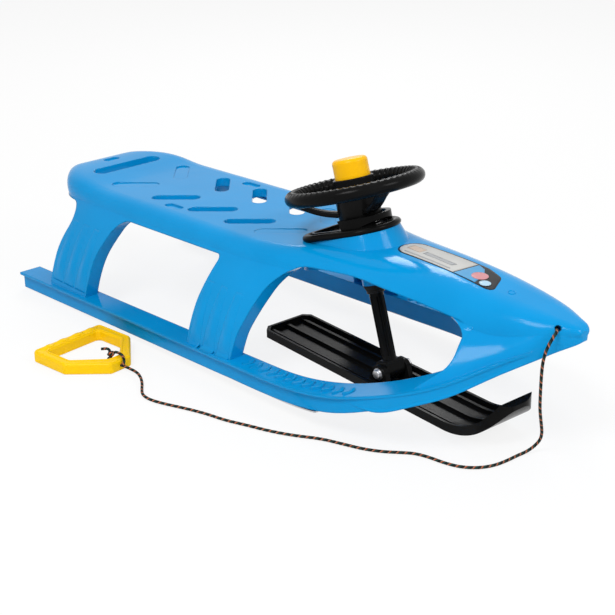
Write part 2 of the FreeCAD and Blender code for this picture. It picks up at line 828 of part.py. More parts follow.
def strip(name, hand):
    """Steel strip under one runner, its front end curved up along the bow."""
    length = size("runner_length")
    radius = size("strip_toe_radius")
    thick = size("strip_thickness")
    start = strip_toe_share * length
    sweep = math.asin((strip_end_share - strip_toe_share) * length / radius)

    def on_toe(distance, share):
        angle = sweep * share
        return Vector(start + distance * math.sin(angle), 0, radius - distance * math.cos(angle))

    inner = radius - thick
    edges = [
        Part.LineSegment(Vector(0, 0, 0), on_toe(radius, 0)),
        Part.Arc(on_toe(radius, 0), on_toe(radius, 0.5), on_toe(radius, 1)),
        Part.LineSegment(on_toe(radius, 1), on_toe(inner, 1)),
        Part.Arc(on_toe(inner, 1), on_toe(inner, 0.5), on_toe(inner, 0)),
        Part.LineSegment(on_toe(inner, 0), Vector(0, 0, thick)),
        Part.LineSegment(Vector(0, 0, thick), Vector(0, 0, 0)),
    ]
    face = Part.Face(Part.Wire([edge.toShape() for edge in edges]))
    middle = hand * (size("track_half") - size("runner_width") / 2)
    face.translate(Vector(0, middle - size("strip_width") / 2, 0))
    bar = face.extrude(Vector(0, size("strip_width"), 0))
    bar = bar.cut(rivet_bars(size("rivet_radius"), -size("overrun"), size("overrun")))
    bar = bar.cut(rivet_bars(size("rivet_head_radius"), -size("overrun"), size("rivet_head_height")))
    return keep(name, bar.Solids[0], stance())


def strip_rivets():
    """Rivets with flush heads that hold the strips."""
    pins = rivet_bars(size("rivet_radius"), 0, size("rivet_length"))
    heads = rivet_bars(size("rivet_head_radius"), 0, size("rivet_head_height"))
    rivets = [pin.fuse(head).removeSplitter().Solids[0] for pin, head in zip(pins, heads)]
    return keep("strip_rivets", Part.makeCompound(rivets), stance())


def screw_places():
    """Places of the base screws in the cowl plane."""
    rear = [Vector(-size("screw_rear"), sign * size("screw_rear_side"), 0) for sign in (1, -1)]
    front = [Vector(size("screw_front"), sign * size("screw_front_side"), 0) for sign in (1, -1)]
    return rear + front


def screw_bars(radius, low, high):
    """One bar along the steering axis at every base screw."""
    bars = []
    for spot in screw_places():
        bar = round_bar(radius, low, high)
        bar.translate(spot)
        bars.append(bar)
    return bars


def steering_base():
    """Shield-shaped base on the cowl: a shallow tray with a boss and a raised front wall."""
    floor = size("base_floor")
    top = size("base_height")
    plate = base_prism(0, 0, top)
    tray = base_prism(-size("base_rim"), floor, top + size("overrun"))
    boss = round_bar(size("base_boss_radius"), 0, top)
    radius = size("base_front_radius")
    high = size("base_wall_top")
    wall = round_bar(radius, 0, high)
    wall = wall.cut(round_bar(radius - size("base_wall_thickness"), floor / 2, high + size("overrun")))
    reach = radius + size("overrun")
    slope = Part.makeBox(reach, 2 * reach, high + reach, Vector(size("base_wall_back"), -reach, 0))
    slope.rotate(Vector(size("base_wall_back"), 0, top), axis_y, -size("base_wall_slope"))
    wall = wall.common(slope).common(round_bar(reach, 0, high))
    wall = wall.fuse(plate.cut(tray)).fuse(boss)
    cuts = [round_bar(bore_radius(), -size("overrun"), top + size("overrun"))]
    cuts.extend(screw_bars(size("screw_radius"), -size("overrun"), floor + size("overrun")))
    solid = wall.cut(cuts).removeSplitter()
    return keep("steering_base", solid.Solids[0], stance() * axis_place())


def base_screws():
    """Pan-head screws of the steering base."""
    floor = size("base_floor")
    high = floor + size("screw_head_height") / 2
    pins = screw_bars(size("screw_radius"), floor - size("screw_length"), high)
    heads = screw_bars(size("screw_head_radius"), floor, floor + size("screw_head_height"))
    screws = []
    for pin, head in zip(pins, heads):
        rounded = head.makeFillet(size("screw_head_height") / 2, [head.Edges[0]])
        screws.append(pin.fuse(rounded).removeSplitter().Solids[0])
    return keep("base_screws", Part.makeCompound(screws), stance() * axis_place())


bush_inner = "column_radius + running_clearance"
bush_outer = bush_inner + " + bush_wall"


def upper_bush():
    """Plain bearing of the column in the base, with a thrust flange under the hub."""
    low = "base_height - upper_bush_length"
    high = "hub_base - free_clearance"
    corners = (
        (bush_inner, low), (bush_outer, low), (bush_outer, "base_height"),
        ("thrust_radius", "base_height"), ("thrust_radius", high), (bush_inner, high),
    )
    turned("upper_bush", corners, stance() * axis_place())


def lower_bush():
    """Plain bearing of the column in the boss, with a tapered collar below."""
    seat = "0 - boss_length"
    low = seat + " - collar_height"
    high = seat + " + lower_bush_length"
    corners = (
        (bush_inner, low), (bush_outer, low), ("collar_radius", seat + " - collar_lip"),
        ("collar_radius", seat), (bush_outer, seat), (bush_outer, high), (bush_inner, high),
    )
    turned("lower_bush", corners, stance() * axis_place())


def steering_column():
    """Fluted column with a rounded foot block for the ski bolt."""
    radius = size("column_radius")
    drop = column_drop()
    top = size("hub_base") + size("hub_height") - size("hub_cup_depth")
    shaft = round_bar(radius, -drop, top)
    shaft = shaft.makeFillet(size("column_edge"), [shaft.Edges[0]])
    width = size("foot_width")
    foot = Part.makeCylinder(size("foot_radius"), width, Vector(0, -width / 2, -drop), axis_y)
    corner = Vector(-size("foot_radius"), -width / 2, -drop)
    neck = Part.makeBox(2 * size("foot_radius"), width, size("foot_neck"), corner)
    upper = [edge for edge in neck.Edges if edge.BoundBox.ZMin > -drop]
    neck = neck.makeFillet(size("foot_radius") / 2, upper)
    solid = shaft.fuse([foot, neck])
    low = -drop + size("foot_neck") + size("flute_end")
    high = -size("boss_length") - size("collar_height") - size("clip_height") - size("flute_end")
    cuts = []
    for index in range(flute_count):
        flute = round_bar(size("flute_radius"), low, high)
        flute.translate(Vector(radius, 0, 0))
        flute.rotate(Vector(), axis_z, (index + 1 / 2) * 360 / flute_count)
        cuts.append(flute)
    reach = width + size("overrun")
    cuts.append(Part.makeCylinder(size("bolt_radius"), 2 * reach, Vector(0, -reach, -drop), axis_y))
    cuts.append(cross_bar())
    screw_end = top - size("wheel_screw_length")
    cuts.append(round_bar(size("wheel_screw_radius"), screw_end, top + size("overrun")))
    return keep("steering_column", solid.cut(cuts).removeSplitter().Solids[0], steering_place())


def cross_bar():
    """Room of the pin through the hub and the column."""
    reach = size("hub_radius") - size("free_clearance")
    return Part.makeCylinder(
        size("wheel_pin_radius"), 2 * reach, Vector(0, -reach, size("wheel_pin_height")), axis_y)


def spoke(angle):
    """One spoke falling from the rim to the foot of the hub."""
    half = size("spoke_width") / 2
    thick = size("spoke_thickness")
    rim = size("rim_lift")
    stations = (
        (size("hub_radius") - thick, size("hub_base") + size("spoke_root"), half * spoke_foot_share),
        ((size("hub_radius") + size("rim_radius")) / 2, (size("hub_base") + rim) / 2 - thick / 4, half),
        (size("rim_radius"), rim - size("rim_thickness") / 2, half * spoke_end_share),
    )
    wires = []
    for reach, height, side in stations:
        low = -thick / 2
        corners = [(-side, low), (side, low), (side, -low), (-side, -low)]
        corners = [(across, up, thick / 3) for across, up in corners]
        wires.append(rounded_wire(corners, lambda across, up: Vector(reach, across, height + up)))
    solid = Part.makeLoft(wires, True, False)
    solid.rotate(Vector(), axis_z, angle)
    return solid


def steering_wheel():
    """Wheel with a round rim, three falling spokes and a cupped hub."""
    low = size("hub_base")
    high = low + size("hub_height")
    hub = round_bar(size("hub_radius"), low, high)
    hub = hub.makeFillet(size("spoke_thickness") / 3, [hub.Edges[2]])
    rim = Part.makeTorus(size("rim_radius"), size("rim_thickness"), Vector(0, 0, size("rim_lift")))
    spokes = [spoke(size("spoke_turn") + index * 360 / spoke_count) for index in range(spoke_count)]
    wheel = hub.fuse([rim] + spokes)
    cup = round_bar(size("hub_cup_radius"), high - size("hub_cup_depth"), high + size("overrun"))
    socket = round_bar(size("column_radius"), low - size("overrun"), high)
    wheel = wheel.cut([cup, socket, cross_bar()]).removeSplitter()
    return keep("steering_wheel", wheel.Solids[0], steering_place())


def wheel_pin():
    """Cross pin that locks the wheel to the column."""
    pin = doc.addObject("Part::Cylinder", "wheel_pin")
    pin.Label = "wheel_pin"
    pin.setExpression("Radius", bound("wheel_pin_radius"))
    pin.setExpression("Height", "2 * (sizes.hub_radius - sizes.free_clearance)")
    reach = size("hub_radius") - size("free_clearance")
    where = place(0, reach, size("wheel_pin_height")) * turn(axis_x, 90)
    pin.Placement = steering_place() * where


def wheel_screw():
    """Screw in the top of the column with a wide head."""
    top = "hub_base + hub_height - hub_cup_depth"
    head_top = top + " + wheel_screw_head_height"
    corners = (
        ("0", top + " - wheel_screw_length"), ("wheel_screw_radius", top + " - wheel_screw_length"),
        ("wheel_screw_radius", top), ("wheel_screw_head_radius", top),
        ("wheel_screw_head_radius", head_top), ("0", head_top),
    )
    turned("wheel_screw", corners, steering_place())


def horn_ring():
    """Ring on the hub that guides the press button."""
    low = "hub_base + hub_height"
    high = low + " + ring_height"
    inner = "button_radius + free_clearance"
    corners = ((inner, low), ("ring_radius", low), ("ring_radius", high), (inner, high))
    body = turned("horn_ring", corners, steering_place())
    rounded_top(body, "horn_ring_edge", "ring_edge")


button_roof_low = "button_top - button_roof"


def horn_button():
    """Press button of the horn: a cap with a rounded top."""
    wall = "button_radius - button_wall"
    corners = (
        ("0", button_roof_low), (wall, button_roof_low), (wall, "button_skirt"),
        ("button_radius", "button_skirt"), ("button_radius", "button_top"), ("0", "button_top"),
    )
    body = turned("horn_button", corners, steering_place())
    rounded_top(body, "horn_button_edge", "button_dome")


def horn_bellows():
    """Folded air bellows between the hub's cup and the button."""
    low = worth("hub_base + hub_height - hub_cup_depth")
    rise = (worth(button_roof_low) - low) / (bellows_edges - 1)
    outer = []
    for index in range(bellows_edges):
        outer.append((size("bellows_radius") - (index % 2) * size("bellows_fold"), low + index * rise))
    inner = [(across - size("bellows_wall"), up) for across, up in reversed(outer)]
    points = [side_point(across, up) for across, up in outer + inner]
    tube = Part.Face(Part.makePolygon(points + points[:1])).revolve(Vector(), axis_z, 360)
    keep("horn_bellows", tube.Solids[0], steering_place())


def column_clip():
    """Snap ring on the column under the lower bush."""
    top = "0 - boss_length - collar_height - free_clearance"
    corners = (
        ("column_radius", top + " - clip_height"), ("clip_radius", top + " - clip_height"),
        ("clip_radius", top), ("column_radius", top),
    )
    turned("column_clip", corners, steering_place())


def ski_band(low, high, near, far):
    """Slab that follows the ski's sole from the tail to the raised tip, between two heights and sides."""
    rear = size("ski_rear") + size("overrun")
    flat = size("ski_flat")
    reach = size("ski_front") - flat
    radius = (reach * reach + size("ski_tip_height") ** 2) / (2 * size("ski_tip_height"))
    sweep = 2 * math.atan(size("ski_tip_height") / reach) + size("overrun") / radius

    def on_tip(height, share):
        angle = sweep * share
        distance = radius - height
        up = radius - distance * math.cos(angle) - size("bolt_height")
        return Vector(flat + distance * math.sin(angle), near, up)

    tail_low = Vector(-rear, near, low - size("bolt_height"))
    tail_high = Vector(-rear, near, high - size("bolt_height"))
    edges = [
        Part.LineSegment(tail_low, on_tip(low, 0)),
        Part.Arc(on_tip(low, 0), on_tip(low, 0.5), on_tip(low, 1)),
        Part.LineSegment(on_tip(low, 1), on_tip(high, 1)),
        Part.Arc(on_tip(high, 1), on_tip(high, 0.5), on_tip(high, 0)),
        Part.LineSegment(on_tip(high, 0), tail_high),
        Part.LineSegment(tail_high, tail_low),
    ]
    face = Part.Face(Part.Wire([edge.toShape() for edge in edges]))
    return face.extrude(Vector(0, far - near, 0))


def ski_plan(inset, pad):
    """Plan of the ski with clipped rear corners and a rounded tip, run upright."""
    half = size("ski_width") / 2 - inset
    rear = -size("ski_rear") + inset
    front = size("ski_front") - inset - pad
    clip = size("ski_corner")
    corners = (
        (rear, -half + clip, 0), (rear + clip, -half, 0), (front, -half, size("ski_nose") - inset),
        (front, half, size("ski_nose") - inset), (rear + clip, half, 0), (rear, half - clip, 0),
    )
    face = Part.Face(rounded_wire(corners, flat_point))
    face.translate(Vector(0, 0, -size("bolt_height") - size("overrun")))
    return face.extrude(Vector(0, 0, 2 * size("overrun") + size("ski_tip_height") + size("ski_rim_height")))


def ski_ear(hand):
    """Upright ear that carries the ski bolt."""
    low = size("ski_wall") / 2 - size("bolt_height")
    reach = size("ear_length") / 2
    top = size("ear_radius")
    corners = ((-reach, low, 0), (reach, low, 0), (top, top, top), (-top, top, top))
    face = Part.Face(rounded_wire(corners, side_point))
    near = size("foot_width") / 2 + size("free_clearance")
    face.translate(Vector(0, near if hand > 0 else -near - size("ear_thickness"), 0))
    return face.extrude(Vector(0, size("ear_thickness"), 0))


def steering_ski():
    """Front ski: a tray with a raised rim, lengthwise ribs, an upturned tip and two ears."""
    half = size("ski_width") / 2
    side = half + size("overrun")
    wall = size("ski_wall")
    rim = ski_band(0, size("ski_rim_height"), -side, side).common(ski_plan(0, 0))
    tray = ski_band(wall, size("ski_rim_height") + size("overrun"), -side, side)
    tray = tray.common(ski_plan(wall, size("ski_tip_pad")))
    rib_half = size("ski_rib_width") / 2
    pieces = [ski_ear(1), ski_ear(-1)]
    for share in ski_rib_shares:
        middle = share * half
        rib = ski_band(wall / 2, wall + size("ski_rib_height"), middle - rib_half, middle + rib_half)
        pieces.append(rib.common(ski_plan(wall / 2, size("ski_tip_pad") / 2)))
    solid = rim.cut(tray).fuse(pieces)
    reach = size("foot_width")
    hole = size("bolt_radius") + size("running_clearance")
    bore = Part.makeCylinder(hole, 2 * reach, Vector(0, -reach, 0), axis_y)
    room = Part.makeCylinder(
        size("foot_radius") + size("foot_room"), size("foot_width"),
        Vector(0, -size("foot_width") / 2, 0), axis_y)
    return keep("steering_ski", solid.cut([bore, room]).removeSplitter().Solids[0], ski_place())


def bolt_stack():
    """Distance from the middle of the bolt to the outer faces of the washers."""
    ears = size("foot_width") / 2 + size("free_clearance") + size("ear_thickness")
    return ears + size("free_clearance") + size("washer_thickness")


def bolt_place():
    """Frame of the ski bolt, its z along the bolt."""
    return steering_place() * place(0, 0, -column_drop()) * turn(axis_x, -90)


def ski_bolt():
    """Bolt through the foot of the column and the ears of the ski."""
    stack = bolt_stack()
    shank = round_bar(size("bolt_radius"), -stack, stack + size("nut_height") + size("washer_thickness"))
    head = round_bar(size("bolt_head_radius"), -stack - size("bolt_head_height"), -stack)
    head = head.makeFillet(size("bolt_head_height") / 2, [head.Edges[2]])
    keep("ski_bolt", shank.fuse(head).removeSplitter().Solids[0], bolt_place())


def bolt_washers():
    """Washer under the bolt's head and washer under its nut."""
    stack = bolt_stack()
    thick = size("washer_thickness")
    rings = []
    for low in (-stack, stack - thick):
        ring = round_bar(size("washer_radius"), low, low + thick)
        bore = round_bar(size("bolt_radius"), low - size("overrun"), low + size("overrun"))
        rings.append(ring.cut(bore).Solids[0])
    keep("bolt_washers", Part.makeCompound(rings), bolt_place())


def bolt_nut():
    """Hexagon nut of the ski bolt."""
    blank = doc.addObject("Part::Prism", "nut_blank")
    blank.Polygon = 6
    blank.setExpression("Circumradius", bound("nut_radius"))
    blank.setExpression("Height", bound("nut_height"))
    bore = doc.addObject("Part::Cylinder", "nut_bore")
    bore.setExpression("Radius", bound("bolt_radius"))
    bore.setExpression("Height", bound("nut_height"))
    nut = doc.addObject("Part::Cut", "bolt_nut")
    nut.Label = "bolt_nut"
    nut.Base = blank
    nut.Tool = bore
    nut.Placement = bolt_place() * place(0, 0, bolt_stack())


def rope_wire(points):
    """Line of the rope: straight runs with a tangent arc at every inner point."""
    edges = []
    radii = []
    last = points[0]
    for before, here, after in zip(points, points[1:], points[2:]):
        back = before - here
        ahead = after - here
        half_turn = (math.pi - back.getAngle(ahead)) / 2
        reach = rope_arc_share * min(back.Length, ahead.Length)
        radius = reach / math.tan(half_turn)
        start = here + back.normalize() * reach
        end = here + ahead.normalize() * reach
        inward = (back + ahead).normalize()
        middle = here + inward * (radius / math.cos(half_turn) - radius)
        edges.append(Part.LineSegment(last, start).toShape())
        edges.append(Part.Arc(start, middle, end).toShape())
        radii.append(radius)
        last = end
    edges.append(Part.LineSegment(last, points[-1]).toShape())
    print("rope bend radii", [round(radius) for radius in radii])
    return Part.Wire(edges)


def tow_rope():
    """Tow rope from the nose to the handle."""
    points = [Vector(*point) for point in rope_route]
    line = rope_wire(points)
    ring = Part.Wire(Part.makeCircle(size("rope_radius"), points[0], points[1] - points[0]))
    tube = line.makePipeShell([ring], True, False)
    area = math.pi * size("rope_radius") ** 2
    print("rope length %.1f" % line.Length)
    print("tube volume over section times length %.4f" % (tube.Volume / area / line.Length))
    keep("tow_rope", tube.Solids[0], Placement())


def knot(name, point):
    """Round knot at one end of the rope."""
    ball = doc.addObject("Part::Sphere", name)
    ball.Label = name
    ball.setExpression("Radius", bound("knot_radius"))
    ball.Placement = place(*point)


def handle_outline(side, waist, end, neck, back):
    """House-shaped outline of the handle, its corners rounded."""
    corner = size("handle_corner")
    right = [(back, -side, corner), (waist, -side, corner), (end, -neck, corner)]
    left = [(along, -across, radius) for along, across, radius in reversed(right)]
    return Part.Face(rounded_wire(right + left, flat_point))


def tow_handle():
    """Flat stirrup handle: a grip bar with finger dents, two arms and a neck bored for the rope."""
    half = size("handle_width") / 2
    neck = size("handle_neck_width") / 2
    length = size("handle_length")
    bar = size("handle_bar")
    thick = size("handle_thickness")
    back = -bar / 2
    waist = length * handle_waist_share
    outer = handle_outline(half, waist, length, neck, back)
    inner_waist = waist - bar * arm_inner_share
    inner_neck = neck - bar * neck_inner_share
    inner = handle_outline(half - bar, inner_waist, length - bar, inner_neck, back + bar)
    frame = outer.cut(inner).extrude(Vector(0, 0, thick))
    edges = [edge for edge in frame.Edges if edge.BoundBox.ZLength < thick / 2]
    frame = frame.makeFillet(size("handle_edge"), edges)
    radius = size("grip_dent_radius")
    cuts = []
    for share in grip_dent_shares:
        dent = Part.makeCylinder(radius, thick + 2 * size("overrun"))
        middle = back + size("grip_dent_depth") - radius
        dent.translate(Vector(middle, share * (half - bar), -size("overrun")))
        cuts.append(dent)
    hole = size("rope_radius") + size("free_clearance")
    cuts.append(Part.makeCylinder(hole, 2 * bar, Vector(length - 3 * bar / 2, 0, thick / 2), axis_x))
    where = place(*handle_centre, 0) * turn(axis_z, size("handle_yaw"))
    keep("tow_handle", frame.cut(cuts).removeSplitter().Solids[0], where)


node_names = (
    "sled_body", "runner_strip_left", "runner_strip_right", "strip_rivets", "steering_base", "base_screws",
    "upper_bush", "lower_bush", "steering_column", "column_clip", "steering_wheel", "wheel_pin",
    "wheel_screw", "horn_ring", "horn_bellows", "horn_button", "steering_ski", "ski_bolt", "bolt_washers",
    "bolt_nut",
    "tow_rope", "nose_knot", "handle_knot", "tow_handle",
)


def build():
    """Makes every sub-part."""
    keep("sled_body", sled_body().Solids[0], stance())
    strip("runner_strip_left", 1)
    strip("runner_strip_right", -1)
    strip_rivets()
    steering_base()
    base_screws()
    upper_bush()
    lower_bush()
    steering_column()
    column_clip()
    steering_wheel()
    wheel_pin()
    wheel_screw()
    horn_ring()
    horn_button()
    horn_bellows()
    steering_ski()
    ski_bolt()
    bolt_washers()
    bolt_nut()
    tow_rope()
    knot("nose_knot", rope_route[0])
    knot("handle_knot", rope_route[-1])
    tow_handle()
    doc.recompute()


def write():
    """Checks every sub-part and writes it to its own file."""
    for piece in doc.Objects:
        if "Invalid" in piece.State or "Error" in piece.State:
            raise RuntimeError("%s is not built" % piece.Name)
    os.makedirs("parts", exist_ok=True)
    for name in node_names:
        shape = doc.getObject(name).Shape
        if shape.isNull() or not shape.isValid():
            raise RuntimeError("%s has no sound shape" % name)
        shape.exportStep("parts/%s.step" % name)


build()
write()
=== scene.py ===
import json
import math

import bmesh
import bpy
from mathutils import Matrix, Vector
from mathutils.bvhtree import BVHTree


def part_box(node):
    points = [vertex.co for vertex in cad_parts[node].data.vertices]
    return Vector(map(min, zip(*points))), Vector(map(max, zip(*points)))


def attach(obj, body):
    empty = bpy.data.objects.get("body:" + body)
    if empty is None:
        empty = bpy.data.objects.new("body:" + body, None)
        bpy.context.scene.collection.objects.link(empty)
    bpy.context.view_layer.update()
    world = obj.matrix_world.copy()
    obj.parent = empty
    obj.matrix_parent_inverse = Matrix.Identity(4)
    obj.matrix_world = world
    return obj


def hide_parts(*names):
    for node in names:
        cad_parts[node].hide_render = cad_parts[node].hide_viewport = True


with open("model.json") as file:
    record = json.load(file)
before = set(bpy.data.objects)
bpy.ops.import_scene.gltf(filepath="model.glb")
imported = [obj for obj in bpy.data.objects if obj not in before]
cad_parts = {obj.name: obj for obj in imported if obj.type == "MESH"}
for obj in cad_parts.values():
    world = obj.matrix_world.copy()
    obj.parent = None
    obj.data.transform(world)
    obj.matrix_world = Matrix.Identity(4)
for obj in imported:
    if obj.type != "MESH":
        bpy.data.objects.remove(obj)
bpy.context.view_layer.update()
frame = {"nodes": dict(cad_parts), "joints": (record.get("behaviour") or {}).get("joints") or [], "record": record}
nodes = frame["nodes"]
joints = {joint["name"]: joint for joint in frame["joints"]}

# Camera of the photograph: place, turn and focal length over a 36 mm wide square frame.
camera_place = (1.39884, -1.30339, 0.86896)
camera_azimuth = math.radians(46.70)
camera_elevation = math.radians(22.98)
photo_width = 615
focal_pixels = 1360.0
sensor_width = 36.0

# Lamps: name, place, width and power. All are aimed at one point.
lamp_target = (0, 0, 0.1)
lamps = (
    ("key", (0.6, -1.6, 2.2), 0.9, 38),
    ("fill", (1.8, 0.6, 1.5), 0.7, 14),
    ("back", (-1.4, 1.4, 1.6), 0.8, 16),
)

# Floor and world: the world's strength as light, and as the camera sees it.
floor_size = 30
floor_height = -0.0005
floor_colour = (0.86, 0.86, 0.86, 1)
floor_roughness = 0.9
floor_glow_share = 0.85
world_light = 0.55
world_seen = 0.92

# Scale and detail of the noises in the materials, and the depth of their relief in metres.
drift_noise = (9, 3)
gloss_noise = (60, 4)
wave_noise = (22, 1)
wave_depth = 0.004
grain_detail = 2
grain_depth = 0.0004
plastic_ior = 1.5
streak_noise = (240, 5)
streak_stretch = (0.05, 1, 1)
streak_relief = 0.12
streak_depth = 0.0002

# Tow rope: its lay, its tones across the strands, and the same points as in the part's source, in metres.
rope_radius = 0.0022
rope_strands = 3
rope_pitch = 0.0105
rope_groove = 0.16
rope_sides = 18
rope_roughness = 0.8
rope_shine = 0.2
rope_tones = (
    (0.0, (0.006, 0.007, 0.007)), (0.3, (0.014, 0.042, 0.034)), (0.66, (0.46, 0.085, 0.03)),
    (0.81, (0.34, 0.27, 0.18)), (0.87, (0.006, 0.007, 0.007)),
)
yarn_pitch = 0.0016
yarn_relief = 0.35
yarn_depth = 0.0003
spline_resolution = 14
rope_route = (
    (0.4746, -0.012, 0.1778), (0.4873, -0.02, 0.1857), (0.4955, -0.029, 0.188), (0.497, -0.04, 0.182),
    (0.4935, -0.046, 0.168), (0.49, -0.047, 0.1495), (0.4888, -0.046, 0.129), (0.4868, -0.0425, 0.105),
    (0.4828, -0.036, 0.079), (0.4805, -0.0275, 0.054), (0.4755, -0.017, 0.035), (0.47, -0.0115, 0.02),
    (0.4635, -0.015, 0.0088), (0.4595, -0.026, 0.0032), (0.457, -0.041, 0.0025), (0.4565, -0.06, 0.0025),
    (0.4535, -0.083, 0.0025), (0.4435, -0.103, 0.0025), (0.427, -0.1175, 0.0025), (0.406, -0.125, 0.0025),
    (0.382, -0.128, 0.0025), (0.362, -0.134, 0.0025), (0.347, -0.1465, 0.0025), (0.33, -0.1615, 0.0025),
    (0.307, -0.175, 0.0025), (0.278, -0.185, 0.0025), (0.248, -0.196, 0.0025), (0.221, -0.214, 0.0025),
    (0.189, -0.23, 0.0025), (0.153, -0.242, 0.0025), (0.121, -0.2545, 0.0025), (0.09, -0.2605, 0.0025),
    (0.058, -0.271, 0.0025), (0.028, -0.2835, 0.0025), (0.002, -0.2915, 0.0025), (-0.018, -0.29, 0.0025),
    (-0.033, -0.2795, 0.0026), (-0.046, -0.269, 0.0036), (-0.059, -0.2615, 0.0058), (-0.073, -0.2576, 0.008),
    (-0.0923, -0.2589, 0.00875), (-0.1119, -0.26125, 0.00875), (-0.1313, -0.2633, 0.00875),
)

# Knots: steps round the loop, and its depth against its width.
knot_steps = 96
knot_depth = 1.25

# Hitch of the rope over the handle's neck and its short tail, in the handle's frame.
hitch_route = (
    (0.0900, 0.0010, 0.0110), (0.0905, 0.0045, 0.0185), (0.0960, 0.0065, 0.0222), (0.1050, 0.0065, 0.0226),
    (0.1140, 0.0050, 0.0218), (0.1192, 0.0025, 0.0165), (0.1195, 0.0005, 0.0108), (0.1180, 0.0, 0.0088),
)
tail_route = (
    (0.0900, 0.0010, 0.0100), (0.0880, 0.0025, 0.0170), (0.0850, 0.0055, 0.0215), (0.0800, 0.0050, 0.0235),
    (0.0750, 0.0020, 0.0225), (0.0715, 0.0010, 0.0215),
)
hitch_knot = (0.0895, 0.0030, 0.0190)
hitch_knot_size = 0.0062

# Beads that follow an outline: steps along it and sides of the section.
hull_steps = 144
bead_sides = 14

# Thin sheets laid on a surface: how thick they are, and how far they are lifted off it.
sheet_depth = 0.0008
sheet_lift = 0.00005

# Tow handle: its frame on the floor, the round corners of its outer and inner outlines, and its edge ribs.
handle_centre = (-0.2218, -0.2728, 0)
handle_yaw = math.radians(6)
handle_thickness = 0.0175
handle_outer = (
    (-0.0010, -0.0590, 0.007), (0.0600, -0.0590, 0.007), (0.1080, -0.0158, 0.007),
    (0.1080, 0.0158, 0.007), (0.0600, 0.0590, 0.007), (-0.0010, 0.0590, 0.007),
)
handle_inner = (
    (0.0150, -0.0430, 0.007), (0.0560, -0.0430, 0.007), (0.0920, -0.0070, 0.007),
    (0.0920, 0.0070, 0.007), (0.0560, 0.0430, 0.007), (0.0150, 0.0430, 0.007),
)
handle_rib = 0.0016
handle_rib_inset = 0.0030
handle_rib_sink = 0.0003

# Finger humps on the handle's grip: half size, count, height and how steeply they fall off.
grip_half = (0.0055, 0.056)
grip_humps = 4
grip_hump_height = 0.0042
grip_hump_power = 0.7
grip_side_power = 4
grip_end_power = 8
grip_sink = 0.0001
grip_steps = 96
grip_sides = 8

# Lip round the foot of the steering base: the round corners of the base's outline, in the steering frame.
base_corners = ((0, 0, 0.044), (-0.042, 0.038, 0.020), (-0.042, -0.038, 0.020))
lip_margin = 0.0050
lip_half_width = 0.0062
lip_half_height = 0.0050
lip_lift = 0.0034

# Steering wheel: rim, the sleeve over it and the sleeve's grip ribs.
rim_radius = 0.091
rim_tube = 0.0098
rim_lift = 0.062
rim_sleeve = 0.0001
rim_sides = 20
rib_count = 60
rib_steps = 8
rib_height = 0.0011
rib_power = 0.6
rib_turn = math.radians(140)
rib_side_power = 0.7

# Panel on the hood, in plan: round rear end, long sides and a slanted front; then how it is divided.
panel_rear_centre = (0.2235, 0.0080)
panel_rear_radius = 0.0240
panel_rear_steps = 12
panel_front = [
    (0.3700, -0.0258), (0.3770, -0.0257), (0.3826, -0.0238), (0.3850, -0.0200), (0.3846, -0.0160),
    (0.3722, 0.0110), (0.3690, 0.0156), (0.3640, 0.0186), (0.3400, 0.0270),
]
panel_border = 0.0026
panel_lift = 0.0003
panel_passes = 5
panel_longest_edge = 0.005

# What lies on the panel, in plan: the field's front end, plain blocks, a wedge and two discs.
field_front = [(0.316, -0.0208), (0.322, 0.0248)]
warm_block = [(0.212, 0.004), (0.238, 0.001), (0.239, 0.015), (0.213, 0.018)]
grey_block = [(0.244, 0.001), (0.300, -0.005), (0.304, 0.003), (0.245, 0.009)]
long_bar = [(0.218, -0.0085), (0.306, -0.0160), (0.306, -0.0132), (0.218, -0.0057)]
wedge = [(0.318, -0.0208), (0.356, -0.0226), (0.350, 0.0040), (0.338, 0.0190), (0.324, 0.0248)]
disc = (0.3480, -0.0025, 0.0115)
spot = (0.3670, -0.0150, 0.0080)
disc_steps = 28

# Colours of the panel, each from its low to its high tone.
dark = ((0.012, 0.012, 0.014), (0.02, 0.02, 0.022))
pale = ((0.40, 0.40, 0.39), (0.52, 0.52, 0.50))
warm = ((0.46, 0.36, 0.29), (0.54, 0.43, 0.35))
grey = ((0.27, 0.28, 0.29), (0.33, 0.34, 0.35))
sky = ((0.05, 0.26, 0.50), (0.08, 0.32, 0.58))
coral = ((0.50, 0.20, 0.22), (0.58, 0.26, 0.28))
ice = ((0.32, 0.52, 0.68), (0.40, 0.60, 0.74))

# Ridges up the legs: where each one stands, from where to where it runs, its section and its foot's share.
ridge_places = (-0.384, -0.353, -0.322, -0.029, 0.003, 0.035)
ridge_heights = (0.041, 0.135)
ridge_half = 0.0140
ridge_height = 0.0022
ridge_foot = 0.36
ridge_steps = 24
ridge_parts = 16

# Webs that round the front corners of the front windows: two ends and the corner, on the near side.
web_first = Vector((0.3350, -0.0680, 0.1815))
web_corner = Vector((0.3925, -0.0665, 0.1715))
web_last = Vector((0.3936, -0.0955, 0.1455))
web_depth = 0.0040
web_steps = 28
web_parts = 8

# Moulded ring on the hood.
mark_place = (0.404, -0.006)
mark_radius = 0.0050
mark_width = 0.0008


def empty_material(name):
    """A material with a bare principled shader; gives the material, its tree and the shader."""
    material = bpy.data.materials.new(name)
    material.use_nodes = True
    tree = material.node_tree
    return material, tree, tree.nodes["Principled BSDF"]


def noise(tree, scale, detail, stretch=(1, 1, 1)):
    """Noise over the piece's own place in metres."""
    where = tree.nodes.new("ShaderNodeTexCoord")
    mapping = tree.nodes.new("ShaderNodeMapping")
    mapping.inputs["Scale"].default_value = stretch
    pattern = tree.nodes.new("ShaderNodeTexNoise")
    pattern.inputs["Scale"].default_value = scale
    pattern.inputs["Detail"].default_value = detail
    tree.links.new(where.outputs["Object"], mapping.inputs["Vector"])
    tree.links.new(mapping.outputs["Vector"], pattern.inputs["Vector"])
    return pattern.outputs["Fac"]


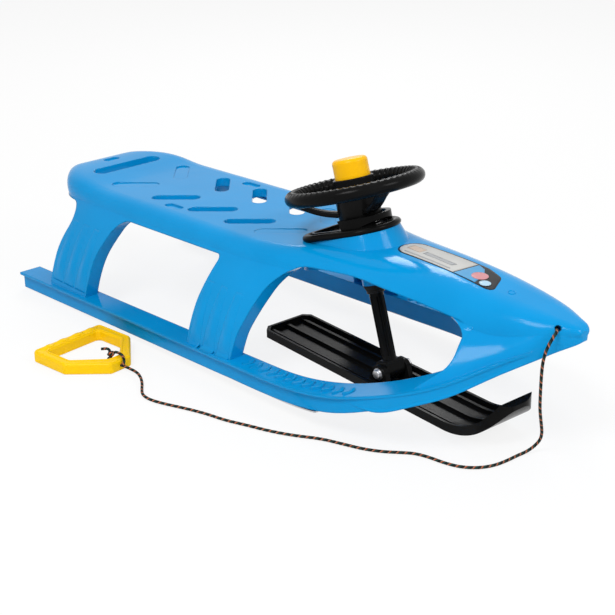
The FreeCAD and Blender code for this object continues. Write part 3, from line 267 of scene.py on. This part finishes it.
def ramp(tree, factor, low, high, start=0.35, end=0.65):
    """Colours that run from low to high with a factor."""
    node = tree.nodes.new("ShaderNodeValToRGB")
    node.color_ramp.elements[0].position = start
    node.color_ramp.elements[0].color = (*low, 1)
    node.color_ramp.elements[1].position = end
    node.color_ramp.elements[1].color = (*high, 1)
    tree.links.new(factor, node.inputs["Fac"])
    return node.outputs["Color"]


def spread(tree, factor, low, high):
    """A number that runs from low to high with a factor."""
    node = tree.nodes.new("ShaderNodeMapRange")
    node.inputs["To Min"].default_value = low
    node.inputs["To Max"].default_value = high
    tree.links.new(factor, node.inputs["Value"])
    return node.outputs["Result"]


def maths(tree, operation, first, second):
    """Result of one sum on a socket and a number."""
    node = tree.nodes.new("ShaderNodeMath")
    node.operation = operation
    tree.links.new(first, node.inputs[0])
    node.inputs[1].default_value = second
    return node.outputs[0]


def larger(tree, first, second):
    """The larger of two sockets."""
    node = tree.nodes.new("ShaderNodeMath")
    node.operation = "MAXIMUM"
    tree.links.new(first, node.inputs[0])
    tree.links.new(second, node.inputs[1])
    return node.outputs[0]


def bump(tree, shader, height, strength, distance):
    """Relief on the shader from a height, over any relief that it has already."""
    node = tree.nodes.new("ShaderNodeBump")
    node.inputs["Strength"].default_value = strength
    node.inputs["Distance"].default_value = distance
    tree.links.new(height, node.inputs["Height"])
    for link in shader.inputs["Normal"].links:
        tree.links.new(link.from_socket, node.inputs["Normal"])
    tree.links.new(node.outputs["Normal"], shader.inputs["Normal"])


def plastic(name, low, high, rough, grain, relief, shine=0.12, wave=0, edge=0.0008):
    """Moulded plastic: slight colour drift, uneven gloss, a fine grain, long waves and worn-round edges."""
    material, tree, shader = empty_material(name)
    if edge:
        soft = tree.nodes.new("ShaderNodeBevel")
        soft.inputs["Radius"].default_value = edge
        tree.links.new(soft.outputs["Normal"], shader.inputs["Normal"])
    tree.links.new(ramp(tree, noise(tree, *drift_noise), low, high), shader.inputs["Base Color"])
    tree.links.new(spread(tree, noise(tree, *gloss_noise), *rough), shader.inputs["Roughness"])
    if wave:
        bump(tree, shader, noise(tree, *wave_noise), wave, wave_depth)
    bump(tree, shader, noise(tree, grain, grain_detail), relief, grain_depth)
    shader.inputs["IOR"].default_value = plastic_ior
    shader.inputs["Specular IOR Level"].default_value = shine
    return material


def metal(name, low, high, rough):
    """Metal with drawn streaks."""
    material, tree, shader = empty_material(name)
    streak = noise(tree, *streak_noise, streak_stretch)
    tree.links.new(ramp(tree, streak, low, high), shader.inputs["Base Color"])
    tree.links.new(spread(tree, streak, *rough), shader.inputs["Roughness"])
    bump(tree, shader, streak, streak_relief, streak_depth)
    shader.inputs["Metallic"].default_value = 1
    return material


def rope_material():
    """Twisted cord: dark strands, one of them bright, with fine yarns across each strand."""
    material, tree, shader = empty_material("rope_strands")
    where = tree.nodes.new("ShaderNodeUVMap")
    where.uv_map = "strand"
    split = tree.nodes.new("ShaderNodeSeparateXYZ")
    tree.links.new(where.outputs["UV"], split.inputs["Vector"])
    tone = tree.nodes.new("ShaderNodeValToRGB")
    tone.color_ramp.interpolation = "CONSTANT"
    elements = tone.color_ramp.elements
    for middle in (0.4, 0.5, 0.6):
        elements.new(middle)
    for element, (position, colour) in zip(elements, rope_tones):
        element.position = position
        element.color = (*colour, 1)
    tree.links.new(maths(tree, "FRACT", split.outputs["X"], 0), tone.inputs["Fac"])
    tree.links.new(tone.outputs["Color"], shader.inputs["Base Color"])
    yarn = maths(tree, "SINE", maths(tree, "MULTIPLY", split.outputs["Y"], math.tau), 0)
    bump(tree, shader, yarn, yarn_relief, yarn_depth)
    shader.inputs["Roughness"].default_value = rope_roughness
    shader.inputs["Specular IOR Level"].default_value = rope_shine
    return material


# Finishes, by the record's material slots. The blue trim is the blue plastic without its rounded edges.
blue_look = {
    "low": (0.001, 0.262, 0.60), "high": (0.002, 0.282, 0.64), "rough": (0.1, 0.15),
    "grain": 900, "relief": 0.03, "shine": 0.1, "wave": 0.08,
}
materials = {
    "blue_plastic": plastic("blue_plastic", **blue_look, edge=0.003),
    "black_plastic": plastic(
        "black_plastic", low=(0.004, 0.004, 0.004), high=(0.007, 0.007, 0.007), rough=(0.16, 0.26),
        grain=1400, relief=0.08, shine=0.05),
    "yellow_cap": plastic(
        "yellow_cap", low=(0.88, 0.45, 0.002), high=(0.92, 0.49, 0.003), rough=(0.22, 0.3),
        grain=1100, relief=0.04),
    "yellow_handle": plastic(
        "yellow_handle", low=(0.90, 0.55, 0.002), high=(0.94, 0.59, 0.003), rough=(0.22, 0.3),
        grain=1100, relief=0.03),
    "steel": metal("steel", low=(0.5, 0.5, 0.51), high=(0.72, 0.72, 0.73), rough=(0.25, 0.4)),
    "bearing_plastic": plastic(
        "bearing_plastic", low=(0.006, 0.006, 0.006), high=(0.01, 0.01, 0.01), rough=(0.4, 0.5),
        grain=1400, relief=0.1),
    "bellows_rubber": plastic(
        "bellows_rubber", low=(0.012, 0.012, 0.012), high=(0.018, 0.018, 0.018), rough=(0.6, 0.75),
        grain=1700, relief=0.2),
    "rope": rope_material(),
}
blue_trim = plastic("blue_trim", **blue_look, edge=0)
clip_finish = metal(
    "blackened_steel", low=(0.012, 0.012, 0.013), high=(0.03, 0.03, 0.032), rough=(0.35, 0.5))


def dress_nodes():
    """Gives every node the finish of its record slot, and the clip on the column a blackened one."""
    for entry in frame["record"]["subparts"]:
        node = nodes[entry["node"]]
        node.data.materials.clear()
        node.data.materials.append(materials[entry["material_slot"]])
    nodes["column_clip"].data.materials[0] = clip_finish


def new_piece(name, mesh, material, body):
    """A piece of mesh that rides on a body."""
    piece = bpy.data.objects.new(name, mesh)
    bpy.context.collection.objects.link(piece)
    mesh.materials.append(material)
    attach(piece, body)
    return piece


def built_mesh(name, build):
    """Mesh from what has been built."""
    mesh = bpy.data.meshes.new(name)
    build.to_mesh(mesh)
    build.free()
    return mesh


def skin(build, rings):
    """Smooth faces between rings of points, from the last ring back to the first."""
    for ring, following in zip(rings, rings[1:] + rings[:1]):
        for side in range(len(ring)):
            ahead = (side + 1) % len(ring)
            face = build.faces.new((ring[side], following[side], following[ahead], ring[ahead]))
            face.smooth = True


def sheet_faces(build, rows, turned):
    """Smooth faces of a sheet given by rows of points."""
    for row, following in zip(rows, rows[1:]):
        for step in range(len(row) - 1):
            corners = [row[step], row[step + 1], following[step + 1], following[step]]
            face = build.faces.new(corners[::-1] if turned else corners)
            face.smooth = True


def thicken(build, depth):
    """Backs an open sheet with a second skin and a wall round its rim."""
    build.normal_update()
    faces = build.faces[:]
    rims = [edge for edge in build.edges if edge.is_boundary]
    backs = {vertex: build.verts.new(vertex.co - vertex.normal * depth) for vertex in build.verts[:]}
    walls = []
    for edge in rims:
        loop = edge.link_loops[0]
        first, second = loop.vert, loop.link_loop_next.vert
        walls.append((second, first, backs[first], backs[second]))
    for face in faces:
        build.faces.new([backs[vertex] for vertex in reversed(face.verts)]).smooth = True
    for wall in walls:
        build.faces.new(wall)


def hull_point(corners, direction, margin):
    """Point of an outline stretched round corners, where its edge faces a direction."""
    def reach(corner):
        return corner[0] * direction.x + corner[1] * direction.y + corner[2]

    x, y, radius = max(corners, key=reach)
    return Vector((x, y, 0)) + direction * (radius + margin)


def hull_bead(name, corners, margin, lift, half_width, half_height, place):
    """Bead that follows an outline stretched round corners."""
    build = bmesh.new()
    rings = []
    for step in range(hull_steps):
        turn = math.tau * (step + 0.5) / hull_steps
        direction = Vector((math.cos(turn), math.sin(turn), 0))
        ring = []
        for side in range(bead_sides):
            angle = math.tau * side / bead_sides
            point = hull_point(corners, direction, margin + half_width * math.cos(angle))
            point.z = lift + half_height * math.sin(angle)
            ring.append(build.verts.new(place @ point))
        rings.append(ring)
    skin(build, rings)
    return built_mesh(name, build)


def spline_points(route):
    """Points along the smooth line of a route."""
    curve = bpy.data.curves.new("line", "CURVE")
    curve.dimensions = "3D"
    curve.resolution_u = spline_resolution
    spline = curve.splines.new("NURBS")
    spline.points.add(len(route) - 1)
    for point, place in zip(spline.points, route):
        point.co = (*place, 1)
    spline.order_u = 3
    spline.use_endpoint_u = True
    holder = bpy.data.objects.new("line", curve)
    bpy.context.collection.objects.link(holder)
    bpy.context.view_layer.update()
    evaluated = holder.evaluated_get(bpy.context.evaluated_depsgraph_get())
    shape = bpy.data.meshes.new_from_object(evaluated)
    points = [vertex.co.copy() for vertex in shape.vertices]
    bpy.data.objects.remove(holder)
    return points


def strand_ring(build, point, along, side, twist):
    """Ring of the rope's skin around a point, swollen where its strands lie."""
    other = along.cross(side)
    ring = []
    for step in range(rope_sides):
        angle = math.tau * step / rope_sides
        bulge = abs(math.sin(rope_strands * (angle / 2 + math.pi * twist)))
        reach = rope_radius * (1 - rope_groove + rope_groove * bulge)
        ring.append(build.verts.new(point + (side * math.cos(angle) + other * math.sin(angle)) * reach))
    return ring


def rope_mesh(name, points, closed):
    """Twisted rope along points, with a layout that follows its strands."""
    build = bmesh.new()
    layout = build.loops.layers.uv.new("strand")
    count = len(points)
    travelled = [0.0]
    for before, after in zip(points, points[1:]):
        travelled.append(travelled[-1] + (after - before).length)
    rings = []
    side = None
    for index, point in enumerate(points):
        before = points[index - 1] if index or closed else point
        after = points[(index + 1) % count] if index + 1 < count or closed else point
        along = (after - before).normalized()
        side = along.orthogonal() if side is None else side
        side = (side - along * side.dot(along)).normalized()
        rings.append(strand_ring(build, point, along, side, travelled[index] / rope_pitch))
    pairs = list(zip(range(count), range(1, count)))
    if closed:
        pairs.append((count - 1, 0))
    for a, b in pairs:
        for step in range(rope_sides):
            following = (step + 1) % rope_sides
            face = build.faces.new((rings[a][step], rings[a][following], rings[b][following], rings[b][step]))
            face.smooth = True
            ends = ((step, a), (step + 1, a), (step + 1, b), (step, b))
            for loop, (around, ring) in zip(face.loops, ends):
                turn = around / rope_sides + travelled[ring] / rope_pitch
                loop[layout].uv = (turn, travelled[ring] / yarn_pitch)
    if not closed:
        build.faces.new(rings[0][::-1])
        build.faces.new(rings[-1])
    return built_mesh(name, build)


def knot_mesh(name, centre, size):
    """Overhand knot: a small three-lobed loop of rope."""
    scale = (size - rope_radius) / 3
    points = []
    for step in range(knot_steps):
        turn = math.tau * step / knot_steps
        lobe = Vector((
            math.sin(turn) + 2 * math.sin(2 * turn),
            math.cos(turn) - 2 * math.cos(2 * turn),
            -math.sin(3 * turn) * knot_depth,
        ))
        points.append(centre + lobe * scale)
    return rope_mesh(name, points, True)


def rope_piece(name, mesh):
    """A piece of rope that rides on the sled."""
    return new_piece(name, mesh, materials["rope"], "sled")


def handle_frame():
    """Place of the tow handle on the floor."""
    return Matrix.Translation(handle_centre) @ Matrix.Rotation(handle_yaw, 4, "Z")


def rope_ties():
    """Hitch over the handle's neck, with its knot and its tail."""
    place = handle_frame()
    pieces = []
    for name, route in (("handle_hitch", hitch_route), ("handle_tail", tail_route)):
        points = spline_points([place @ Vector(point) for point in route])
        pieces.append(rope_piece(name, rope_mesh(name, points, False)))
    knot = knot_mesh("handle_hitch_knot", place @ Vector(hitch_knot), hitch_knot_size)
    pieces.append(rope_piece("handle_hitch_knot", knot))
    return pieces


def tow_rope():
    """Tow rope with its knots and ties, in place of the part's own rope and knots."""
    points = spline_points(rope_route)
    rope = rope_piece("tow_rope_laid", rope_mesh("tow_rope_laid", points, False))
    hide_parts("tow_rope")
    pieces = rope_ties() + [nodes["tow_handle"]]
    for node in ("nose_knot", "handle_knot"):
        low, high = (Vector(corner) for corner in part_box(node))
        knot = rope_piece(node + "_tied", knot_mesh(node + "_tied", (low + high) / 2, (high - low).x / 2))
        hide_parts(node)
        pieces.append(knot)


def grip_mesh(name, place):
    """Row of finger humps on the top of the handle's grip."""
    half_x, half_y = grip_half
    build = bmesh.new()
    rows = []
    for step in range(grip_steps + 1):
        along = 2 * step / grip_steps - 1
        hump = abs(math.sin(math.pi * grip_humps * (along + 1) / 2)) ** grip_hump_power
        row = []
        for side in range(grip_sides + 1):
            across = 2 * side / grip_sides - 1
            fall = (1 - across ** grip_side_power) * (1 - along ** grip_end_power)
            height = handle_thickness + grip_hump_height * hump * fall - grip_sink
            row.append(build.verts.new(place @ Vector((half_x * across, half_y * along, height))))
        rows.append(row)
    sheet_faces(build, rows, False)
    thicken(build, sheet_depth)
    return built_mesh(name, build)


def handle_trim():
    """Raised edges and finger humps on the tow handle."""
    place = handle_frame()
    lift = handle_thickness - handle_rib_sink
    edges = (
        ("handle_outer_rib", handle_outer, -handle_rib_inset),
        ("handle_inner_rib", handle_inner, handle_rib_inset),
    )
    meshes = [grip_mesh("handle_grip_humps", place)]
    for name, corners, margin in edges:
        meshes.append(hull_bead(name, corners, margin, lift, handle_rib, handle_rib, place))
    for mesh in meshes:
        new_piece(mesh.name, mesh, materials["yellow_handle"], "sled")


def steering_frame():
    """Place and directions of the steering wheel: its z is the column's axis, its x points forward."""
    joint = joints["steering"]
    up = Vector(joint["axis"]).normalized()
    across = Vector((0, 1, 0))
    ahead = across.cross(up).normalized()
    turn = Matrix((ahead, across, up)).transposed().to_4x4()
    return Matrix.Translation(Vector(joint["pos_m"])) @ turn


def rim_grip():
    """Sleeve on the wheel's rim, with a row of ribs on its inner upper side."""
    build = bmesh.new()
    steps = rib_count * rib_steps
    rings = []
    for step in range(steps):
        turn = math.tau * step / steps
        ridge = max(0.0, math.sin(rib_count * turn)) ** rib_power
        ring = []
        for side in range(rim_sides):
            angle = math.tau * side / rim_sides
            reach = max(0.0, math.cos(angle - rib_turn))
            tube = rim_tube + rim_sleeve + rib_height * ridge * reach ** rib_side_power
            radius = rim_radius + tube * math.cos(angle)
            height = rim_lift + tube * math.sin(angle)
            ring.append(build.verts.new((radius * math.cos(turn), radius * math.sin(turn), height)))
        rings.append(ring)
    skin(build, rings)
    mesh = built_mesh("rim_grip", build)
    mesh.transform(steering_frame())
    new_piece("rim_grip", mesh, materials["black_plastic"], "steering")


def base_lip():
    """Rounded lip round the foot of the steering base."""
    mesh = hull_bead(
        "base_lip", base_corners, lip_margin, lip_lift, lip_half_width, lip_half_height, steering_frame())
    new_piece("base_lip", mesh, materials["black_plastic"], "sled")


def body_tree():
    """Search tree of the moulded body's surface."""
    mesh = nodes["sled_body"].data
    points = [vertex.co for vertex in mesh.vertices]
    return BVHTree.FromPolygons(points, [tuple(face.vertices) for face in mesh.polygons])


def surface(tree, start, direction):
    """Where a line first meets the body, and which way the body faces there."""
    hit, normal, _, _ = tree.ray_cast(Vector(start), Vector(direction))
    return hit, normal


def surface_below(tree, x, y):
    """The body's surface as it is met from above."""
    return surface(tree, (x, y, 1), (0, 0, -1))


def panel(name, outline, layer, colours, tree):
    """Thin printed panel laid on the hood inside a plan outline, on a layer of its own."""
    build = bmesh.new()
    build.faces.new([build.verts.new((x, y, 0)) for x, y in outline])
    bmesh.ops.triangulate(build, faces=build.faces[:])
    for _ in range(panel_passes):
        long_edges = [edge for edge in build.edges if edge.calc_length() > panel_longest_edge]
        if not long_edges:
            break
        bmesh.ops.subdivide_edges(build, edges=long_edges, cuts=1)
        bmesh.ops.triangulate(build, faces=[face for face in build.faces if len(face.verts) > 3])
    for vertex in build.verts:
        hit, normal = surface_below(tree, vertex.co.x, vertex.co.y)
        vertex.co = hit + normal * (layer * panel_lift)
    for face in build.faces:
        face.smooth = True
    build.normal_update()
    if build.faces[:][0].normal.z < 0:
        bmesh.ops.reverse_faces(build, faces=build.faces[:])
    thicken(build, panel_lift)
    low, high = colours
    material = plastic(name, low, high, rough=(0.18, 0.26), grain=700, relief=0.03, edge=0)
    new_piece(name, built_mesh(name, build), material, "sled")


def panel_rear(inset):
    """Round rear end of the panel, moved in by a border."""
    x, y = panel_rear_centre
    radius = panel_rear_radius - inset
    points = []
    for step in range(panel_rear_steps + 1):
        angle = math.pi / 2 + math.pi * step / panel_rear_steps
        points.append((x + radius * math.cos(angle), y + radius * math.sin(angle)))
    return points


def disc_outline(x, y, radius):
    """Round outline."""
    turns = [math.tau * step / disc_steps for step in range(disc_steps)]
    return [(x + radius * math.cos(turn), y + radius * math.sin(turn)) for turn in turns]


def hood_panel(tree):
    """Plain panel on the hood with a dark edge, a pale field and a coloured front end."""
    sheets = (
        ("panel_edge", panel_rear(0) + panel_front, 1, dark),
        ("panel_field", panel_rear(panel_border) + field_front, 2, pale),
        ("panel_warm_block", warm_block, 3, warm),
        ("panel_grey_block", grey_block, 3, grey),
        ("panel_long_bar", long_bar, 3, grey),
        ("panel_wedge", wedge, 2, sky),
        ("panel_disc", disc_outline(*disc), 3, coral),
        ("panel_spot", disc_outline(*spot), 4, ice),
    )
    for name, outline, layer, colours in sheets:
        panel(name, outline, layer, colours, tree)


def hood_mark(tree):
    """Small moulded ring on the hood, ahead of the panel."""
    hit, normal = surface_below(tree, *mark_place)
    place = Matrix.Translation(hit) @ normal.to_track_quat("Z", "Y").to_matrix().to_4x4()
    mesh = hull_bead("hood_mark", ((0, 0, mark_radius),), 0, 0, mark_width, mark_width, place)
    new_piece("hood_mark", mesh, blue_trim, "sled")


def leg_ridge(build, tree, x, side):
    """Low ridge up the outside of a leg, narrower towards its top and faded out at both ends."""
    low, high = ridge_heights
    rows = []
    for step in range(ridge_steps + 1):
        share = step / ridge_steps
        half = ridge_half * (1 - share / 2)
        fade = (1 - share ** 2) ** 2 * min(1, share / ridge_foot)
        row = []
        for part in range(ridge_parts + 1):
            across = 2 * part / ridge_parts - 1
            start = (x + across * half, side, low + (high - low) * share)
            hit, normal = surface(tree, start, (0, -side, 0))
            rise = ridge_height * (1 - across ** 2) ** 2 * fade
            row.append(build.verts.new(hit + normal * (rise + sheet_lift)))
        rows.append(row)
    sheet_faces(build, rows, side > 0)


def leg_ridges(tree):
    """Low ridges up the outside of the four legs."""
    build = bmesh.new()
    for side in (-1, 1):
        for x in ridge_places:
            leg_ridge(build, tree, x, side)
    thicken(build, sheet_depth)
    new_piece("leg_ridges", built_mesh("leg_ridges", build), blue_trim, "sled")


def window_web(build, tree, side):
    """Web across the front corner of a window, with a round inner edge and a front edge on the bow."""
    rows = []
    for step in range(1, web_steps):
        share = step / web_steps
        if share < 0.5:
            outer = web_first.lerp(web_corner, 2 * share)
        else:
            line = web_corner.lerp(web_last, 2 * share - 1)
            hit, normal = surface(tree, (line.x, -1, line.z), (0, 1, 0))
            outer = hit + normal * sheet_lift
        inner = web_first.lerp(web_corner, share).lerp(web_corner.lerp(web_last, share), share)
        row = []
        for part in range(web_parts + 1):
            point = outer.lerp(inner, part / web_parts)
            row.append(build.verts.new((point.x, point.y * side, point.z)))
        rows.append(row)
    sheet_faces(build, rows, side < 0)


def window_webs(tree):
    """Webs in the front corners of both front windows; the far one mirrors the near one."""
    build = bmesh.new()
    for side in (1, -1):
        window_web(build, tree, side)
    thicken(build, web_depth)
    new_piece("window_webs", built_mesh("window_webs", build), blue_trim, "sled")


def soft_light(name, place, width, power):
    """Large soft lamp."""
    data = bpy.data.lights.new(name, "AREA")
    data.shape = "SQUARE"
    data.size = width
    data.energy = power
    lamp = bpy.data.objects.new(name, data)
    lamp.location = place
    lamp.rotation_euler = (Vector(lamp_target) - Vector(place)).to_track_quat("-Z", "Y").to_euler()
    bpy.context.collection.objects.link(lamp)


def camera_ray(tree):
    """Factor that is 1 for what the camera sees directly, in gloss or through glass."""
    path = tree.nodes.new("ShaderNodeLightPath")
    direct = larger(tree, path.outputs["Is Camera Ray"], path.outputs["Is Glossy Ray"])
    return larger(tree, direct, path.outputs["Is Transmission Ray"])


def white_floor():
    """White floor that takes a faint shadow."""
    bpy.ops.mesh.primitive_plane_add(size=floor_size, location=(0, 0, floor_height))
    floor = bpy.context.object
    floor.name = "floor"
    material, tree, shader = empty_material("floor_white")
    shader.inputs["Base Color"].default_value = floor_colour
    shader.inputs["Roughness"].default_value = floor_roughness
    glow = tree.nodes.new("ShaderNodeEmission")
    glow.inputs["Strength"].default_value = 1
    mix = tree.nodes.new("ShaderNodeMixShader")
    share = maths(tree, "MULTIPLY", camera_ray(tree), floor_glow_share)
    tree.links.new(share, mix.inputs["Fac"])
    tree.links.new(shader.outputs["BSDF"], mix.inputs[1])
    tree.links.new(glow.outputs["Emission"], mix.inputs[2])
    tree.links.new(mix.outputs["Shader"], tree.nodes["Material Output"].inputs["Surface"])
    floor.data.materials.append(material)


def white_world():
    """Even light from all round, white where the camera looks past the floor."""
    world = bpy.data.worlds.new("studio")
    world.use_nodes = True
    tree = world.node_tree
    background = tree.nodes["Background"]
    background.inputs["Color"].default_value = (1, 1, 1, 1)
    strength = spread(tree, camera_ray(tree), world_light, world_seen)
    tree.links.new(strength, background.inputs["Strength"])
    bpy.context.scene.world = world


def studio():
    """Camera, lamps and background."""
    white_floor()
    white_world()
    for lamp in lamps:
        soft_light(*lamp)
    data = bpy.data.cameras.new("camera")
    data.sensor_width = sensor_width
    data.lens = focal_pixels * sensor_width / photo_width
    camera = bpy.data.objects.new("camera", data)
    camera.location = camera_place
    camera.rotation_euler = (math.pi / 2 - camera_elevation, 0, camera_azimuth)
    bpy.context.collection.objects.link(camera)
    bpy.context.scene.camera = camera
    bpy.context.scene.view_settings.view_transform = "Standard"


dress_nodes()
tow_rope()
handle_trim()
rim_grip()
base_lip()
body = body_tree()
hood_panel(body)
hood_mark(body)
leg_ridges(body)
window_webs(body)
studio()
